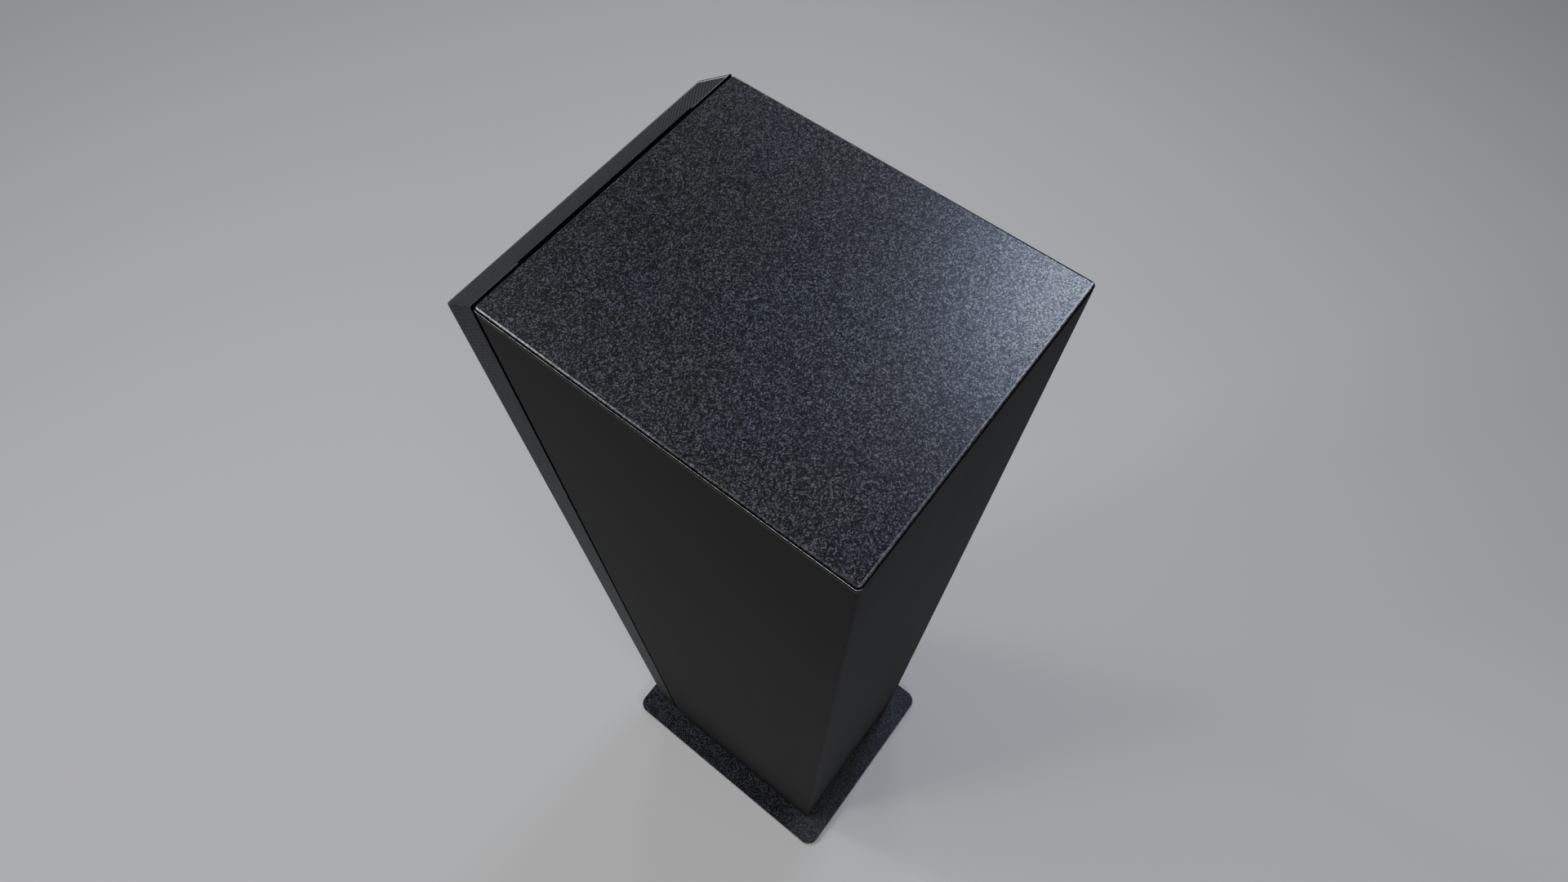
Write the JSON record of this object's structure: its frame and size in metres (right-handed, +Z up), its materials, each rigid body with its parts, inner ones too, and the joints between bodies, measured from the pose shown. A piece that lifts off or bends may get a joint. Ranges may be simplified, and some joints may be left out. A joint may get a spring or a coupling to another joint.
{
  "type": "display plinth",
  "caption": "Tall sheet-steel display plinth on a floor plate, with a tilt-out front panel, a card slot in its sloping top edge and screw feet.",
  "frame": {"origin": "on the floor, under the middle of the floor plate", "axes": "+Z up, -Y towards the front panel, +X to the right seen from the front"},
  "size_m": [0.32, 0.392, 1.284],
  "materials": {
    "speckled_coat": "fine-textured blue-black powder coat with a soft sheen",
    "column_coat": "smooth satin black powder coat",
    "panel_coat": "black sheet with a fine diagonal dimple pattern, satin",
    "black_coat": "matt black powder coat",
    "zinc_steel": "zinc-plated steel",
    "dark_steel": "oiled black steel",
    "ballast_iron": "raw sawn plate",
    "plywood": "raw birch plywood",
    "seal_rubber": "matt black foam rubber"
  },
  "bodies": {
    "column": {"base_plate": "speckled_coat", "riser_frame": "black_coat", "riser_bolt_front_left": "zinc_steel", "riser_bolt_front_right": "zinc_steel", "riser_bolt_rear_left": "zinc_steel", "riser_bolt_rear_right": "zinc_steel", "column_floor": "dark_steel", "column_shell": "column_coat", "top_plate": "speckled_coat", "top_pad": "seal_rubber", "top_core": "plywood", "top_frame": "dark_steel", "top_screw_front_left": "zinc_steel", "top_screw_front_right": "zinc_steel", "top_screw_rear_left": "zinc_steel", "top_screw_rear_right": "zinc_steel", "back_stiffener": "zinc_steel", "side_stiffener_left": "zinc_steel", "side_stiffener_right": "zinc_steel", "ballast_plate_lower": "ballast_iron", "ballast_plate_upper": "ballast_iron", "ballast_stud_left": "zinc_steel", "ballast_stud_right": "zinc_steel", "ballast_nut_left": "zinc_steel", "ballast_nut_right": "zinc_steel", "magnet_catch_left": "zinc_steel", "magnet_catch_right": "zinc_steel", "seam_seal_left": "seal_rubber", "seam_seal_right": "seal_rubber", "seam_seal_top": "seal_rubber", "hinge_clevis_left": "zinc_steel", "hinge_clevis_right": "zinc_steel", "hinge_pin_left": "zinc_steel", "hinge_pin_right": "zinc_steel", "stay_bracket_left": "zinc_steel", "stay_bracket_right": "zinc_steel", "stay_pivot_left": "zinc_steel", "stay_pivot_right": "zinc_steel"},
    "front_panel": {"front_skin": "panel_coat", "front_liner": "column_coat", "card_pocket": "black_coat", "panel_stiffener_left": "zinc_steel", "panel_stiffener_right": "zinc_steel", "hinge_leaf_left": "zinc_steel", "hinge_leaf_right": "zinc_steel", "stay_track_left": "zinc_steel", "stay_track_right": "zinc_steel"},
    "stay_left": {"stay_arm_left": "zinc_steel", "stay_pin_left": "zinc_steel"},
    "stay_right": {"stay_arm_right": "zinc_steel", "stay_pin_right": "zinc_steel"},
    "foot_front_left": {"levelling_foot_front_left": "dark_steel"},
    "foot_front_right": {"levelling_foot_front_right": "dark_steel"},
    "foot_rear_left": {"levelling_foot_rear_left": "dark_steel"},
    "foot_rear_right": {"levelling_foot_rear_right": "dark_steel"}
  },
  "joints": [
    {"name": "front_panel_tilt", "type": "hinge", "parent": "column", "child": "front_panel", "pos_m": [0, -0.1205, 0.0435], "axis": [1, 0, 0], "range_deg": [0, 30]},
    {"name": "stay_left_swing", "type": "hinge", "parent": "column", "child": "stay_left", "pos_m": [-0.1012, -0.1205, 0.2435], "axis": [1, 0, 0], "range_deg": [0, 60]},
    {"name": "stay_right_swing", "type": "hinge", "parent": "column", "child": "stay_right", "pos_m": [0.1012, -0.1205, 0.2435], "axis": [1, 0, 0], "range_deg": [0, 60]},
    {"name": "foot_front_left_screw", "type": "slide", "parent": "column", "child": "foot_front_left", "axis": [0, 0, -1], "range_m": [0, 0.01]},
    {"name": "foot_front_right_screw", "type": "slide", "parent": "column", "child": "foot_front_right", "axis": [0, 0, -1], "range_m": [0, 0.01]},
    {"name": "foot_rear_left_screw", "type": "slide", "parent": "column", "child": "foot_rear_left", "axis": [0, 0, -1], "range_m": [0, 0.01]},
    {"name": "foot_rear_right_screw", "type": "slide", "parent": "column", "child": "foot_rear_right", "axis": [0, 0, -1], "range_m": [0, 0.01]}
  ],
  "couplings": [
    {"joint": "stay_left_swing", "follows": "front_panel_tilt", "ratio": 2},
    {"joint": "stay_right_swing", "follows": "front_panel_tilt", "ratio": 2}
  ]
}
